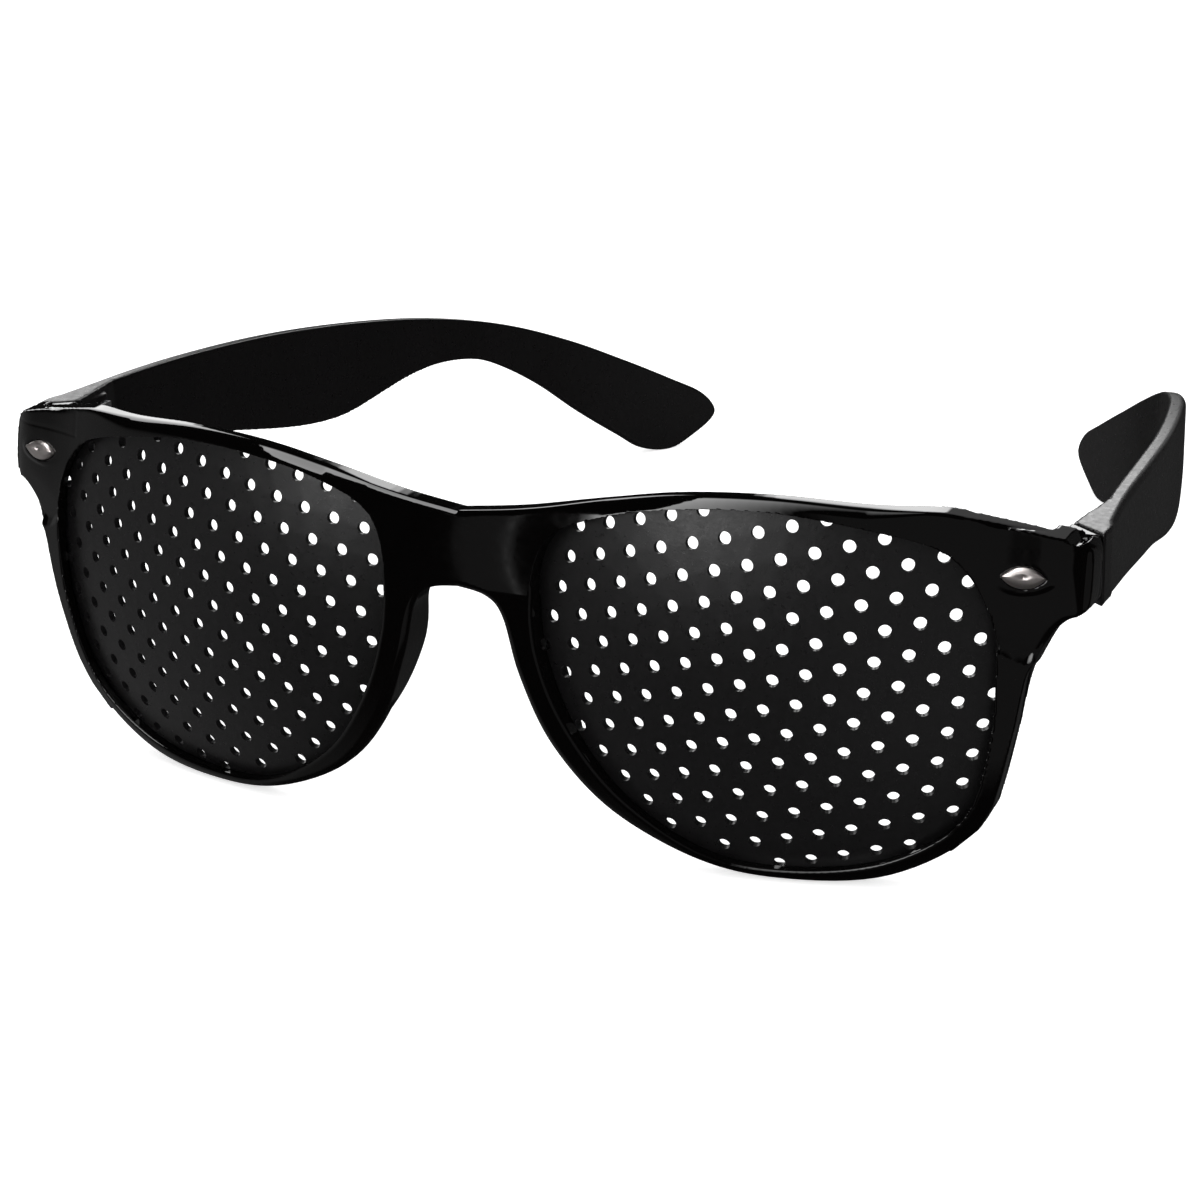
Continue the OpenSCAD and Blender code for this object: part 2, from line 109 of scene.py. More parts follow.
RIVET_DROP = 4.7

# The plates as the photograph shows them: a little thicker than the solids', with smaller holes
SHEET_T = 0.75
HOLE_OPEN = 1.52
HOLE_SIDES = 24
HOLE_BEVEL = 0.07
# Grid of pinholes: rows tried each way, how far out as a share of the opening's width, and its
# shift as shares of the pitch
GRID_REACH = 12
GRID_SPAN = 0.6
GRID_SHIFT = (-0.11, -0.40)
# Rivets: sides of each ring, and half the width and height of the patch of the front that keeps
# the solid's shape under a head
RIVET_SIDES = 48
RIVET_PATCH = (3.0, 1.6)

# Lens opening, as shares of half its width and height, from the temple side round over the top
OPENING = [
    (1.00, 0.16), (0.975, 0.50), (0.80, 0.81), (0.48, 0.935), (0.10, 1.00), (-0.27, 0.98),
    (-0.62, 0.895), (-0.875, 0.745), (-0.95, 0.42), (-0.90, 0.02), (-0.775, -0.34),
    (-0.565, -0.68), (-0.24, -0.94), (0.10, -1.00), (0.53, -0.92), (0.86, -0.65), (0.975, -0.22),
]
# Face of an end piece: distance from the end of the front, and fall below the dome
END_FACE = [
    (-14.2, 0), (-11.6, 1.12), (-8.9, 2.02), (-6.5, 2.57), (-4, 3.17), (-2.2, 4.2),
    (-1.1, 5.5), (-0.4, 7.2), (-0.1, 9.3), (0.1, 13),
]
# Below the rivet the face leans back until it runs into the rim: a point of that plane, with x
# from the end of the front, the way that the plane faces, and how round it meets the face
LEAN_FROM = (-4, 12.4, 5.9)
LEAN_FACING = (0.3673, -0.9183, -0.1478)
LEAN_R = 1.0
# Straight stretches of the end pieces' top: height over the temple's, depth, fall, its cosine.
# They lie between these depths: past the second the top is the temple's.
END_TOP_FALLS = [(2.4, 11, 0.297, 0.959), (4.6, 5, 0.367, 0.939)]
END_TOP_FROM, END_TOP_TO = 9, 19
# From the middle out: where the smooth back ends, and where the end pieces' top begins
BACK_TO = FLAT_FROM - 2
END_FROM = FLAT_FROM + 1
# Soft edges of the front: outer edge, what it loses along the top and gains over the brow,
# edge of an opening, what it loses along the top, and the same two edges behind
OUTER_R, OUTER_R_HIGH, OUTER_R_BROW = 1.0, 0.55, 0.85
OPENING_R, OPENING_R_HIGH = 0.45, 0.15
BACK_R, BACK_OPENING_R = 0.5, 0.3
# What is high counts in part from z = 0 and in full from here up. The brow lies between two
# distances from the middle, and fades in and out.
HIGH_AT = 12
BROW_FROM, BROW_TO, BROW_FADE = 12, 54, 6
# How far the brow hangs over the top of each opening
BROW_DROP = 0.6
# Soft edges of a temple: outer edge, what it gains below the middle, and inner edge
TEMPLE_R, TEMPLE_R_LOW, TEMPLE_R_INNER = 0.8, 1.1, 0.3
# Fullness of a temple's lower edge beyond the solid, and the share of the length where it ends
TEMPLE_FULL, TEMPLE_FULL_TO = 0.35, 0.7
# Where the smooth faces of a temple begin, from its root: on the outer side past the seam, on
# the inner side past the block that carries the hinge
OUTER_FROM, INNER_FROM = 0.5, 9.5
# How far inside and outside a surface the vertices are pulled onto it, and the longest step
PULL_INSIDE, PULL_OUTSIDE, PULL_STEP = 0.4, 1.0, 0.4
# Cosine from which a vertex of the end pieces faces as the surface does
SAME_WAY = 0.75
# A distance so far inside that it makes no face
NO_FACE = -9
# Temple seen from the side: share of its length, and height as a share of the tip's fall
TEMPLE_TOP = [
    (0, 0), (0.12, 0.002), (0.24, 0.023), (0.37, 0.061), (0.50, 0.118), (0.63, 0.197),
    (0.74, 0.30), (0.83, 0.43), (0.90, 0.565), (0.955, 0.685), (0.985, 0.757),
    (1.00, 0.835), (0.996, 0.89), (0.975, 0.95),
]
TEMPLE_BOTTOM = [
    (0.95, 0.995), (0.92, 0.975), (0.893, 0.90), (0.844, 0.76), (0.795, 0.613), (0.746, 0.498),
    (0.697, 0.42), (0.64, 0.388), (0.585, 0.40), (0.53, 0.44), (0.475, 0.472), (0.42, 0.464),
    (0.355, 0.425), (0.257, 0.351), (0.16, 0.305), (0.06, 0.264),
]
# Outer face of a temple seen from above: share of its length, and share of the tip's inset
TEMPLE_PLAN = [
    (0, 0), (0.08, 0.034), (0.21, 0.073), (0.34, 0.124), (0.47, 0.203), (0.60, 0.306),
    (0.73, 0.446), (0.795, 0.541), (0.86, 0.66), (0.925, 0.808), (1.0, 1.0), (1.06, 1.17),
]


def smooth_curve(points, steps, closed=False):
    """Points on a smooth curve through the given ones."""
    p = [np.array(q, float) for q in points]
    n = len(p)
    result = []
    for i in range(n if closed else n - 1):
        if closed:
            a, b, c, d = p[i - 1], p[i], p[(i + 1) % n], p[(i + 2) % n]
        else:
            a, b, c, d = p[max(i - 1, 0)], p[i], p[i + 1], p[min(i + 2, n - 1)]
        for k in range(steps):
            t = k / steps
            result.append(
                b + 0.5 * t * (c - a + t * (2 * a - 5 * b + 4 * c - d + t * (3 * (b - c) + d - a)))
            )
    if not closed:
        result.append(p[-1])
    return np.array(result)


def grown(points, by):
    """A closed outline, anticlockwise, moved outwards."""
    along = np.roll(points, -1, 0) - np.roll(points, 1, 0)
    along /= np.linalg.norm(along, axis=1)[:, None]
    return points + by * np.stack([along[:, 1], -along[:, 0]], 1)


def apply_modifiers(piece):
    """Leaves the piece with the mesh that its modifiers make."""
    depsgraph = bpy.context.evaluated_depsgraph_get()
    mesh = bpy.data.meshes.new_from_object(piece.evaluated_get(depsgraph))
    piece.modifiers.clear()
    piece.data = mesh
    return piece


def read_points(mesh):
    """Vertices of a mesh at rest, in upright millimetres."""
    co = np.empty(len(mesh.vertices) * 3)
    mesh.vertices.foreach_get("co", co)
    back = np.array(TO_REST.inverted())
    return co.reshape(-1, 3) @ back[:3, :3].T + back[:3, 3]


def write_points(mesh, points):
    """Puts vertices given in upright millimetres back at rest."""
    there = np.array(TO_REST)
    mesh.vertices.foreach_set("co", (points @ there[:3, :3].T + there[:3, 3]).ravel())
    mesh.update()


def read_normals(mesh):
    """Vertex normals in the upright frame."""
    normals = np.empty(len(mesh.vertices) * 3)
    mesh.vertex_normals.foreach_get("vector", normals)
    return normals.reshape(-1, 3) @ np.array(TO_REST.to_3x3().normalized())


def add_piece(name, mesh, body, slot, material, *replaced):
    """Links a finished mesh as a piece of the model."""
    piece = bpy.data.objects.new(name, mesh)
    bpy.context.scene.collection.objects.link(piece)
    finish_piece(piece, body, slot, material, *replaced)
    return piece


def finish_piece(piece, body, slot, material, *replaced):
    """Gives a piece its material, smooth shading and body, and hides the nodes that it replaces."""
    piece.data.materials.clear()
    piece.data.materials.append(material)
    piece.data.polygons.foreach_set("use_smooth", [True] * len(piece.data.polygons))
    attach(piece, body)
    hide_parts(*replaced)


def rounded_copy(node, name, voxel, rounds):
    """A copy of a CAD node's solid in fine even facets, with its edges softened."""
    piece = bpy.data.objects.new(name, frame["nodes"][node].data.copy())
    bpy.context.scene.collection.objects.link(piece)
    remesh = piece.modifiers.new("voxels", "REMESH")
    remesh.mode = "VOXEL"
    remesh.voxel_size = voxel * MM
    soften = piece.modifiers.new("soften", "SMOOTH")
    soften.factor = 0.5
    soften.iterations = rounds
    return apply_modifiers(piece)


# Materials
def new_material(name, colour, metallic=0.0, roughness=0.3):
    material = bpy.data.materials.new(name)
    material.use_nodes = True
    shader = material.node_tree.nodes["Principled BSDF"]
    shader.inputs["Base Color"].default_value = (*colour, 1)
    shader.inputs["Metallic"].default_value = metallic
    shader.inputs["Roughness"].default_value = roughness
    return material, shader


def noise(material, scale, detail=3.0):
    """Noise in the piece's own metres."""
    nodes, links = material.node_tree.nodes, material.node_tree.links
    place = nodes.new("ShaderNodeTexCoord")
    texture = nodes.new("ShaderNodeTexNoise")
    texture.inputs["Scale"].default_value = scale
    texture.inputs["Detail"].default_value = detail
    links.new(place.outputs["Object"], texture.inputs["Vector"])
    return texture.outputs["Fac"]


def vary(material, shader, socket, source, low, high):
    """Lets a value of the shader wander between low and high."""
    nodes, links = material.node_tree.nodes, material.node_tree.links
    spread = nodes.new("ShaderNodeMapRange")
    spread.inputs["From Min"].default_value = 0.3
    spread.inputs["From Max"].default_value = 0.7
    spread.inputs["To Min"].default_value = low
    spread.inputs["To Max"].default_value = high
    links.new(source, spread.inputs["Value"])
    links.new(spread.outputs["Result"], shader.inputs[socket])


def tint(material, shader, source, dark, light):
    """Lets the colour wander between two."""
    nodes, links = material.node_tree.nodes, material.node_tree.links
    mix = nodes.new("ShaderNodeMix")
    mix.data_type = "RGBA"
    mix.inputs[6].default_value = (*dark, 1)
    mix.inputs[7].default_value = (*light, 1)
    links.new(source, mix.inputs[0])
    links.new(mix.outputs[2], shader.inputs["Base Color"])


def grain(material, shader, source, distance):
    """Fine relief, with its height in metres."""
    nodes, links = material.node_tree.nodes, material.node_tree.links
    bump = nodes.new("ShaderNodeBump")
    bump.inputs["Distance"].default_value = distance
    bump.inputs["Strength"].default_value = 1.0
    links.new(source, bump.inputs["Height"])
    links.new(bump.outputs["Normal"], shader.inputs["Normal"])


def gloss_black():
    material, shader = new_material("gloss_black", (0.0007, 0.0006, 0.0006), roughness=0.03)
    shader.inputs["IOR"].default_value = 1.5
    vary(material, shader, "Roughness", noise(material, 900), 0.02, 0.04)
    tint(material, shader, noise(material, 120), (0.0005, 0.0004, 0.0004), (0.0011, 0.0009, 0.0009))
    return material


def satin_black():
    material, shader = new_material("satin_black", (0.0024, 0.0020, 0.0022), roughness=0.32)
    shader.inputs["IOR"].default_value = 1.5
    vary(material, shader, "Roughness", noise(material, 1500), 0.26, 0.36)
    tint(material, shader, noise(material, 90), (0.0018, 0.0015, 0.0016), (0.0034, 0.0028, 0.0031))
    grain(material, shader, noise(material, 5000, 2.0), 0.000005)
    return material


def charcoal():
    material, shader = new_material("charcoal", (0.0045, 0.0042, 0.0045), roughness=0.32)
    shader.inputs["IOR"].default_value = 1.45
    vary(material, shader, "Roughness", noise(material, 2500), 0.27, 0.37)
    dark, light = (0.0032, 0.0030, 0.0032), (0.0062, 0.0058, 0.0062)
    tint(material, shader, noise(material, 1400), dark, light)
    grain(material, shader, noise(material, 4000, 2.0), 0.000008)
    return material


def plated(name, colour, rough_low, rough_high, scale):
    material, shader = new_material(name, colour, metallic=1.0)
    vary(material, shader, "Roughness", noise(material, scale), rough_low, rough_high)
    darker = tuple(0.9 * c for c in colour)
    tint(material, shader, noise(material, scale / 4), darker, colour)
    return material


GLOSS = gloss_black()
SATIN = satin_black()
PLATE = charcoal()
STEEL = plated("stamped_steel", (0.60, 0.60, 0.62), 0.28, 0.40, 3000)
BRIGHT = plated("bright_screw", (0.70, 0.70, 0.72), 0.14, 0.24, 3000)
SILVER = plated("satin_silver", (0.66, 0.61, 0.59), 0.30, 0.38, 9000)


# Outlines of the front, in x and z
opening_nodes = np.array([(LENS_X + x * LENS_W / 2, LENS_Z + z * LENS_H / 2) for x, z in OPENING])
opening = smooth_curve(opening_nodes, 10, closed=True)
PLATE_EDGE = grown(opening, GROOVE_REACH)


def rim_at(i, width):
    """The rim's outer edge beside a control point of the opening."""
    return tuple(grown(opening_nodes, width)[i])


outer_half = smooth_curve([
    (0, BRIDGE_TOP),
    (NOSE_GAP / 2, BRIDGE_TOP + 1.1),
    rim_at(6, RIM_TOP + 0.3),
    rim_at(5, RIM_TOP),
    rim_at(4, RIM_TOP),
    rim_at(3, RIM_BROW),
    (END_X - 16.4, END_TOP + 2.2),
    (END_X - 13, END_TOP + 1.6),
    (END_X - 9.2, END_TOP + 0.8),
    (END_X - 4.9, END_TOP),
    (END_X - 2, END_TOP - 0.8),
    (END_X - 0.5, END_TOP - 1.7),
    (END_X, END_TOP - 3.6),
    (END_X, END_TOP - END_H + 1.4),
    (END_X - 0.6, END_TOP - END_H + 0.2),
    (END_X - 2.2, END_TOP - END_H - 0.5),
    (END_X - 3.7, END_TOP - END_H - 2.2),
    (END_X - 5.3, END_TOP - END_H - 5.6),
    rim_at(0, RIM_SIDE + 0.9),
    rim_at(16, RIM_SIDE),
    rim_at(15, RIM_SIDE),
    rim_at(14, RIM_SIDE),
    rim_at(13, RIM_BOTTOM),
    rim_at(12, RIM_BOTTOM),
    rim_at(11, RIM_CHEEK),
    rim_at(10, RIM_NOSE),
    rim_at(9, RIM_NOSE),
    (NOSE_GAP / 2 - 2.3, BRIDGE_TOP - BRIDGE_H - 3),
    (NOSE_GAP / 2 - 4.4, BRIDGE_TOP - BRIDGE_H - 0.7),
    (0, BRIDGE_TOP - BRIDGE_H),
], 8)


# Smooth surfaces: each solid is a field of distances, negative inside
def outline_field(outline, step=0.2, margin=2.0):
    """Signed distance from a closed outline, looked up from a fine grid."""
    low, high = outline.min(0) - margin, outline.max(0) + margin
    us = np.arange(low[0], high[0] + step, step)
    vs = np.arange(low[1], high[1] + step, step)
    nearest = np.full((len(us), len(vs)), np.inf)
    inside = np.zeros((len(us), len(vs)), bool)
    u, v = us[:, None], vs[None, :]
    for a, b in zip(outline, np.roll(outline, -1, 0)):
        along = b - a
        length = along @ along
        if length < 1e-12:
            continue
        t = np.clip(((u - a[0]) * along[0] + (v - a[1]) * along[1]) / length, 0, 1)
        gap = (u - a[0] - t * along[0]) ** 2 + (v - a[1] - t * along[1]) ** 2
        np.minimum(nearest, gap, out=nearest)
        if a[1] != b[1]:
            crosses = (a[1] > v) != (b[1] > v)
            inside ^= crosses & (u < a[0] + (v - a[1]) * along[0] / along[1])
    grid = np.sqrt(nearest) * np.where(inside, -1, 1)

    def look_up(at_u, at_v):
        i = np.clip((at_u - us[0]) / step, 0, len(us) - 1.001)
        j = np.clip((at_v - vs[0]) / step, 0, len(vs) - 1.001)
        i0, j0 = i.astype(int), j.astype(int)
        fi, fj = i - i0, j - j0
        return (
            grid[i0, j0] * (1 - fi) * (1 - fj) + grid[i0 + 1, j0] * fi * (1 - fj)
            + grid[i0, j0 + 1] * (1 - fi) * fj + grid[i0 + 1, j0 + 1] * fi * fj
        )

    return look_up


def ramp(value, width):
    """0 up to nothing, then rising to 1 over the width."""
    return np.clip(value / width, 0, 1)


def rounded(a, b, radius):
    """What is inside both fields, with its edge rounded."""
    corner = np.hypot(np.maximum(a + radius, 0), np.maximum(b + radius, 0))
    return np.minimum(np.maximum(a, b), -radius) + corner


def slope_of(field, points, step=0.02):
    """Gradient of a field."""
    rises = [field(points + step * axis) - field(points - step * axis) for axis in np.eye(3)]
    return np.stack(rises, 1) / (2 * step)


def pull(mesh, field, share, rounds=4):
    """Moves the vertices close to a field's surface onto it, each by its share."""
    points, normals = read_points(mesh), read_normals(mesh)
    value = field(points)
    near = ramp(value + PULL_INSIDE, 0.1) * ramp(PULL_OUTSIDE - value, 0.2)
    weight = share(points, normals) * near
    moved = np.flatnonzero(weight > 0)
    p = points[moved]
    for _ in range(rounds):
        slope = slope_of(field, p)
        size = np.maximum(np.sum(slope**2, axis=1), 0.2)
        p = p - slope * np.clip(field(p) / size, -PULL_STEP, PULL_STEP)[:, None]
    points[moved] += (p - points[moved]) * weight[moved, None]
    write_points(mesh, points)


# Front: the moulded solid with soft edges
outer_field = outline_field(np.concatenate([outer_half, outer_half[::-1] * (-1, 1)]))
opening_field = outline_field(opening)
pad_back = FRONT_T + PAD_DEPTH
pad_r = (PAD_H**2 / 4 + PAD_DEPTH**2) / (2 * PAD_DEPTH)
pad_mid = BRIDGE_TOP - BRIDGE_H - PAD_H / 2
end_face = smooth_curve(END_FACE, 8)
end_base = math.sqrt(FRONT_R**2 - (FLAT_FROM - DOME_X) ** 2)


def bulge_distance(points):
    """Distance of points from the spine that the front bulges around."""
    spine_x = np.clip(points[:, 0], -DOME_X, DOME_X)
    return np.hypot(points[:, 0] - spine_x, np.hypot(points[:, 1] - FRONT_R, points[:, 2]))


def end_face_fall(x):
    """How far the face of an end piece falls below the dome."""
    return np.interp(x, END_X + end_face[:, 0], end_face[:, 1])


def front_field(points):
    """Faces, rims and outer edge of the front; the backs of the end pieces are left out."""
    x, y, z = abs(points[:, 0]), points[:, 1], points[:, 2]
    distance = bulge_distance(points)
    end_distance = np.hypot(y - FRONT_R, z) - end_base + end_face_fall(x)
    from_lean = np.stack([x - END_X, y, z], 1) - LEAN_FROM
    lean = from_lean @ LEAN_FACING
    face = np.where(x < FLAT_FROM, distance - FRONT_R, rounded(end_distance, lean, LEAN_R))
    back = FRONT_R - FRONT_T - distance
    pad = np.hypot(y - pad_back + pad_r, z - pad_mid) - pad_r
    back = np.where(x < NOSE_GAP / 2 + LENS_W / 4, np.minimum(back, pad), back)
    back = np.where(x < BACK_TO, back, NO_FACE)
    over_root = z - ROOT_TOP
    falls = [(over_root - rise + (y - depth) * fall) * c for rise, depth, fall, c in END_TOP_FALLS]
    top = np.where(y < END_TOP_TO, np.maximum.reduce([*falls, over_root]), over_root)
    out = outer_field(x, z)
    out = np.where((x > END_FROM) & (y > END_TOP_FROM), np.maximum(out, top), out)
    high = ramp(z, HIGH_AT)
    brow = high * ramp(x - BROW_FROM, BROW_FADE) * ramp(BROW_TO - x, BROW_FADE)
    rim = -opening_field(x, z) - BROW_DROP * high
    return np.maximum.reduce([
        rounded(face, out, OUTER_R - OUTER_R_HIGH * high + OUTER_R_BROW * brow),
        rounded(face, rim, OPENING_R - OPENING_R_HIGH * high),
        rounded(back, out, BACK_R),
        rounded(back, rim, BACK_OPENING_R),
    ])


def on_front(points, normals):
    """Leaves out the seams, seats and sockets of the end pieces, which face another way."""
    x, z = abs(points[:, 0]), points[:, 2]
    slope = slope_of(front_field, points)
    slope /= np.maximum(np.linalg.norm(slope, axis=1), 0.3)[:, None]
    facing = ramp(np.sum(slope * normals, axis=1) - SAME_WAY, 0.15)
    wide, tall = RIVET_PATCH
    rivet = np.hypot((x - END_X + RIVET_INSET) / wide, (z - END_TOP + RIVET_DROP) / tall)
    return np.where(x < BACK_TO, 1, facing * ramp(rivet - 1, 0.3))


front = rounded_copy("front_frame", "front", voxel=0.2, rounds=8)
pull(front.data, front_field, on_front)
finish_piece(front, "front", "front", GLOSS, "front_frame")


# Temples: the same, with their faces on the smooth plan
plan = smooth_curve(TEMPLE_PLAN, 24)
PLAN_OUT = np.stack([END_X - plan[:, 1] * TIP_INSET, ROOT_Y + plan[:, 0] * TEMPLE_L], 1)
plan_along = np.gradient(PLAN_OUT, axis=0)
plan_along /= np.linalg.norm(plan_along, axis=1)[:, None]
plan_thickness = BLADE_T + (TIP_T - BLADE_T) * np.linspace(0, 1, len(PLAN_OUT))
PLAN_IN = PLAN_OUT + plan_thickness[:, None] * np.stack([-plan_along[:, 1], plan_along[:, 0]], 1)
slant_y = TEMPLE_T * math.tan(math.radians(SEAM_SLANT))
side_field = outline_field(smooth_curve([
    (ROOT_Y - slant_y, ROOT_TOP),
    *[(ROOT_Y + u * TEMPLE_L, ROOT_TOP - v * TIP_FALL) for u, v in TEMPLE_TOP + TEMPLE_BOTTOM],
    (ROOT_Y, ROOT_TOP - ROOT_H),
    (ROOT_Y - slant_y, ROOT_TOP - ROOT_H - 0.1),
], 6))


def temple_field(points):
    """Both faces and the outline of a temple, fuller below the middle."""
    x, y = abs(points[:, 0]), points[:, 1]
    across = np.interp(y, PLAN_OUT[:, 1], plan_along[:, 1])
    out = (x - np.interp(y, PLAN_OUT[:, 1], PLAN_OUT[:, 0])) * across
    inner = (np.interp(y, PLAN_IN[:, 1], PLAN_IN[:, 0]) - x) * across
    profile = side_field(y, points[:, 2])
    share = ramp(y - ROOT_Y, TEMPLE_L)
    middle = ROOT_TOP - np.interp(share, *np.array(TEMPLE_TOP[:12]).T) * TIP_FALL - ROOT_H / 2
    low = ramp(middle - points[:, 2] + 1, 2) * ramp(share, 0.25)
    profile = profile - TEMPLE_FULL * low * ramp(TEMPLE_FULL_TO - share, 1 / 6)
    return np.maximum(
        rounded(out, profile, TEMPLE_R + TEMPLE_R_LOW * low),
        rounded(inner, profile, TEMPLE_R_INNER),
    )


def past_hinge(points, normals):
    """Leaves out the seam and, on the inner side, the block that carries the hinge."""
    x, y = abs(points[:, 0]), points[:, 1]
    outer_side = x > np.interp(y, PLAN_OUT[:, 1], PLAN_OUT[:, 0]) - BLADE_T / 2
    start = ROOT_Y + np.where(outer_side, OUTER_FROM, INNER_FROM)
    return ramp(y - start, 1.5)


for name in SIDES:
    temple = rounded_copy(name + "_temple", name + "_arm", voxel=0.22, rounds=8)
    pull(temple.data, temple_field, past_hinge)
    finish_piece(temple, name + "_temple", "temple", SATIN, name + "_temple")


# Perforated plates: one domed sheet with holes, then given its thickness
def hole_centres():
    """Rise and turn of every pinhole, in degrees, from the middle of the dome."""
    slope = math.radians(ROW_SLOPE)
    step_i = np.array([math.cos(slope), math.sin(slope)])
    step_j = np.array([math.cos(slope + math.pi / 3), math.sin(slope + math.pi / 3)])
    along = np.roll(PLATE_EDGE, -1, 0) - np.roll(PLATE_EDGE, 1, 0)
    along /= np.linalg.norm(along, axis=1)[:, None]
    outward = np.stack([along[:, 1], -along[:, 0]], 1)
    steps = range(-GRID_REACH, GRID_REACH + 1)
    for i in steps:
        for j in steps:
            p = PINHOLE_PITCH * (i * step_i + j * step_j + GRID_SHIFT)
            if math.hypot(p[0], p[1] - LENS_Z) > LENS_W * GRID_SPAN:
                continue
            rise = math.asin(p[1] / DOME_R)
            turn = math.radians(LENS_WRAP) + math.asin(p[0] / (DOME_R * math.cos(rise)))
            seen = np.array([DOME_X + DOME_R * math.cos(rise) * math.sin(turn), p[1]])
            clear = np.min(np.sum((PLATE_EDGE - seen) * outward, axis=1))
            if clear > PINHOLE_D / 2 + PLATE_MARGIN:
                yield rise, turn


def plate_sheet():
    """Points (x, z) and triangles of the left sheet seen from the front, less its holes."""
    circles = []
    for rise, turn in hole_centres():
        out = np.array(
            [math.cos(rise) * math.sin(turn), -math.cos(rise) * math.cos(turn), math.sin(rise)]
        )
        level = np.array([math.cos(turn), math.sin(turn), 0.0])
        up = np.cross(out, level) * -1
        ring = []
        for k in range(HOLE_SIDES):
            a = 2 * math.pi * k / HOLE_SIDES
            q = out * math.sqrt(DOME_R**2 - (HOLE_OPEN / 2) ** 2) + HOLE_OPEN / 2 * (
                math.cos(a) * level + math.sin(a) * up
            )
            ring.append((DOME_X + q[0], q[2]))
        circles.append(np.array(ring))
    points = [tuple(p) for p in PLATE_EDGE]
    edges = [(i, (i + 1) % len(points)) for i in range(len(points))]
    for ring in circles:
        first = len(points)
        points += [tuple(p) for p in ring]
        edges += [(first + k, first + (k + 1) % HOLE_SIDES) for k in range(HOLE_SIDES)]
    verts, _, faces, _, _, _ = delaunay_2d_cdt([Vector(p) for p in points], edges, [], 1, 1e-5)
    flat = np.array([tuple(v) for v in verts])
    centres = np.array([c.mean(0) for c in circles])
    kept = []
    for face in faces:
        middle = flat[list(face)].mean(0)
        nearest = np.argmin(np.sum((centres - middle) ** 2, axis=1))
        ring = circles[nearest] - middle
        turn = ring[:, 0] * np.roll(ring[:, 1], -1) - ring[:, 1] * np.roll(ring[:, 0], -1)
        if not (np.all(turn > 0) or np.all(turn < 0)):
            kept.append(list(face))
    return flat, kept


def build_plate(name, side):
    """The sheet of one side, domed and laid at rest, with its faces towards the front."""
    flat, faces = plate_sheet()
    depth = FRONT_R - np.sqrt(DOME_R**2 - (flat[:, 0] - DOME_X) ** 2 - flat[:, 1] ** 2)
    points = np.stack([side * flat[:, 0], depth, flat[:, 1]], 1)
    mesh = bpy.data.meshes.new(name)
    mesh.from_pydata([tuple(p) for p in points], [], faces)
    shape = bmesh.new()
    shape.from_mesh(mesh)
    bmesh.ops.recalc_face_normals(shape, faces=shape.faces)
    if sum(f.normal.y for f in shape.faces) > 0:
        bmesh.ops.reverse_faces(shape, faces=shape.faces)
    shape.to_mesh(mesh)
    shape.free()
    mesh.transform(TO_REST)
    return mesh


for name, side in SIDES.items():
    plate = add_piece(
        name + "_pinhole_plate", build_plate(name + "_pinhole_plate", side),
        "front", "plate", PLATE, name + "_lens_plate",
    )
    thick = plate.modifiers.new("thickness", "SOLIDIFY")
    thick.thickness = SHEET_T * MM
    thick.offset = -1
    bevel = plate.modifiers.new("hole_edges", "BEVEL")
    bevel.width = HOLE_BEVEL * MM
    bevel.segments = 2
    bevel.limit_method = "ANGLE"
    bevel.angle_limit = math.radians(50)
    bevel.harden_normals = True


# Rivets: pointed heads with a slim bevel above, a broad one below and a fine dimple
def rivet_ring(wide, high, lift, level):
    """One ring of a head: the pointed outline scaled, lifted within its face, at a level."""
    arc_r = (RIVET_L**2 + RIVET_W**2) / (4 * RIVET_W)
    half = math.asin(RIVET_L / 2 / arc_r)
    ring = []
    for k in range(RIVET_SIDES):
        upper = k < RIVET_SIDES / 2
        share = 4 * k / RIVET_SIDES
        t = half * (1 - share if upper else share - 3)
        rise = arc_r * math.cos(t) - arc_r + RIVET_W / 2
        ring.append((wide * arc_r * math.sin(t), high * rise * (1 if upper else -1) + lift, level))
    return ring


def round_ring(radius, lift, level):
    """A round ring of the peg or of the dimple."""
    turns = [2 * math.pi * k / RIVET_SIDES for k in range(RIVET_SIDES)]
    return [(radius * math.cos(t), radius * math.sin(t) + lift, level) for t in turns]


# Peg, edge of the head, its bevels, and the dimple
RIVET_RINGS = [
    round_ring(0.6, 0, -2.5),
    round_ring(0.6, 0, -0.5),
    rivet_ring(1, 1, 0, -0.5),
    rivet_ring(1, 1, 0, 0.06),
    rivet_ring(0.985, 0.96, 0, 0.13),
    rivet_ring(0.95, 0.60, 0.15, 0.38),
    rivet_ring(0.92, 0.52, 0.17, 0.42),
    rivet_ring(0.50, 0.34, 0.18, 0.47),
    round_ring(0.20, 0.2, 0.49),
    round_ring(0.15, 0.2, 0.42),
]


def build_rivet(name, side):
    """A rivet set square on the end piece's face, at rest."""
    points = [q for ring in RIVET_RINGS for q in ring]
    n = RIVET_SIDES
    faces = [tuple(range(n))[::-1]]
    for level in range(len(RIVET_RINGS) - 1):
        for k in range(n):
            a, b = level * n + k, level * n + (k + 1) % n
            faces.append((a, b, b + n, a + n))
    faces.append(tuple(range(len(points) - n, len(points))))
    mesh = bpy.data.meshes.new(name)
    mesh.from_pydata(points, [], faces)
    x, z = END_X - RIVET_INSET, END_TOP - RIVET_DROP
    face = end_base - end_face_fall(x)
    yaw = math.atan((end_face_fall(x + 2) - end_face_fall(x - 2)) / 4)
    place = Vector((x, FRONT_R - math.sqrt(face**2 - z**2), z))
    mesh.transform(
        Matrix.Translation(place)
        @ Matrix.Rotation(yaw, 4, "Z")
        @ Matrix.Rotation(math.pi / 2 - math.asin(z / face), 4, "X")
    )
    mesh.transform(Matrix.Diagonal((side, 1, 1, 1)))
    mesh.transform(TO_REST)
    shape = bmesh.new()
    shape.from_mesh(mesh)
    bmesh.ops.recalc_face_normals(shape, faces=shape.faces)
    shape.to_mesh(mesh)
    shape.free()
    return mesh


